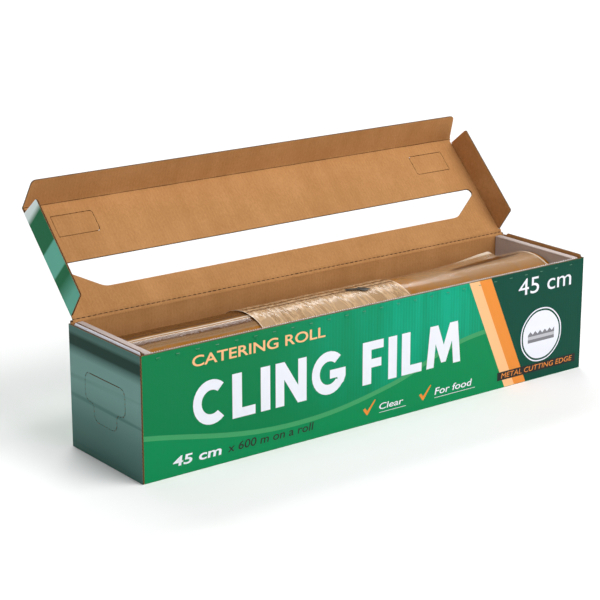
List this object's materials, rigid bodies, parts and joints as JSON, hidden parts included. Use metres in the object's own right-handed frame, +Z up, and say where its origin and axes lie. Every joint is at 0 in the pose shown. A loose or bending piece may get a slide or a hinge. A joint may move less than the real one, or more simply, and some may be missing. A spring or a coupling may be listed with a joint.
{
  "type": "cling film dispenser",
  "caption": "Long corrugated board dispenser box holding a wide roll of cling film on a paper core, with a hinged lid, tuck flaps and a serrated metal cutter along the front edge.",
  "frame": {"origin": "middle of the underside of the box, where it rests on the counter", "axes": "+X along the roll towards the right-hand end, -Y towards the front edge with the cutter, +Z up"},
  "size_m": [0.483, 0.1854, 0.2127],
  "materials": {
    "printed_board": "glossy printed corrugated board",
    "kraft_board": "uncoated kraft liner of corrugated board",
    "white_board": "matt white-faced corrugated board",
    "toothed_steel": "thin bright serrated strip",
    "wound_film": "many wound layers of clear film, amber in depth",
    "clear_film": "single clear layers of film, crinkled",
    "paper_core": "spirally wound grey-brown paper"
  },
  "bodies": {
    "box": {"bottom_panel": "printed_board", "front_panel": "printed_board", "back_panel": "printed_board", "left_end_panel": "printed_board", "right_end_panel": "printed_board", "left_dust_flap": "white_board", "left_liner_riser": "white_board", "left_liner_wall": "white_board", "left_liner_ledge": "white_board", "right_dust_flap": "white_board", "right_liner_riser": "white_board", "right_liner_wall": "white_board", "right_liner_ledge": "white_board", "cutter_strip": "toothed_steel", "film_tail": "clear_film", "start_label": "clear_film"},
    "lid": {"lid_panel": "kraft_board"},
    "front_flap": {"lid_front_flap": "kraft_board"},
    "left_flap": {"lid_left_flap": "kraft_board"},
    "right_flap": {"lid_right_flap": "kraft_board"},
    "left_tongue": {"lid_left_tongue": "kraft_board"},
    "right_tongue": {"lid_right_tongue": "kraft_board"},
    "left_tab": {"left_push_tab": "printed_board"},
    "right_tab": {"right_push_tab": "printed_board"},
    "roll": {"core_tube": "paper_core", "film_roll": "wound_film"}
  },
  "joints": [
    {"name": "lid_hinge", "type": "hinge", "parent": "box", "child": "lid", "pos_m": [0, 0.05375, 0.109], "axis": [-1, 0, 0], "range_deg": [-134.7, 45.3]},
    {"name": "front_flap_fold", "type": "hinge", "parent": "lid", "child": "front_flap", "pos_m": [0, 0.13148, 0.18754], "axis": [-1, 0, 0], "range_deg": [-22.5, 67.5]},
    {"name": "left_flap_fold", "type": "hinge", "parent": "lid", "child": "left_flap", "pos_m": [-0.2378, 0.05375, 0.109], "axis": [0, -0.7034, -0.7108], "range_deg": [0, 90]},
    {"name": "right_flap_fold", "type": "hinge", "parent": "lid", "child": "right_flap", "pos_m": [0.2378, 0.05375, 0.109], "axis": [0, 0.7034, 0.7108], "range_deg": [0, 90]},
    {"name": "left_tongue_fold", "type": "hinge", "parent": "lid", "child": "left_tongue", "pos_m": [-0.217, 0.11346, 0.17161], "axis": [0, -0.7034, -0.7108], "range_deg": [0, 25]},
    {"name": "right_tongue_fold", "type": "hinge", "parent": "lid", "child": "right_tongue", "pos_m": [0.217, 0.11346, 0.17161], "axis": [0, 0.7034, 0.7108], "range_deg": [0, 25]},
    {"name": "left_tab_push", "type": "hinge", "parent": "box", "child": "left_tab", "pos_m": [-0.2399, 0, 0.0719], "axis": [0, -1, 0], "range_deg": [0, 15]},
    {"name": "right_tab_push", "type": "hinge", "parent": "box", "child": "right_tab", "pos_m": [0.2399, 0, 0.0719], "axis": [0, 1, 0], "range_deg": [0, 15]},
    {"name": "roll_spin", "type": "hinge", "parent": "box", "child": "roll", "pos_m": [0, 0, 0.0519], "axis": [1, 0, 0], "continuous": true}
  ]
}
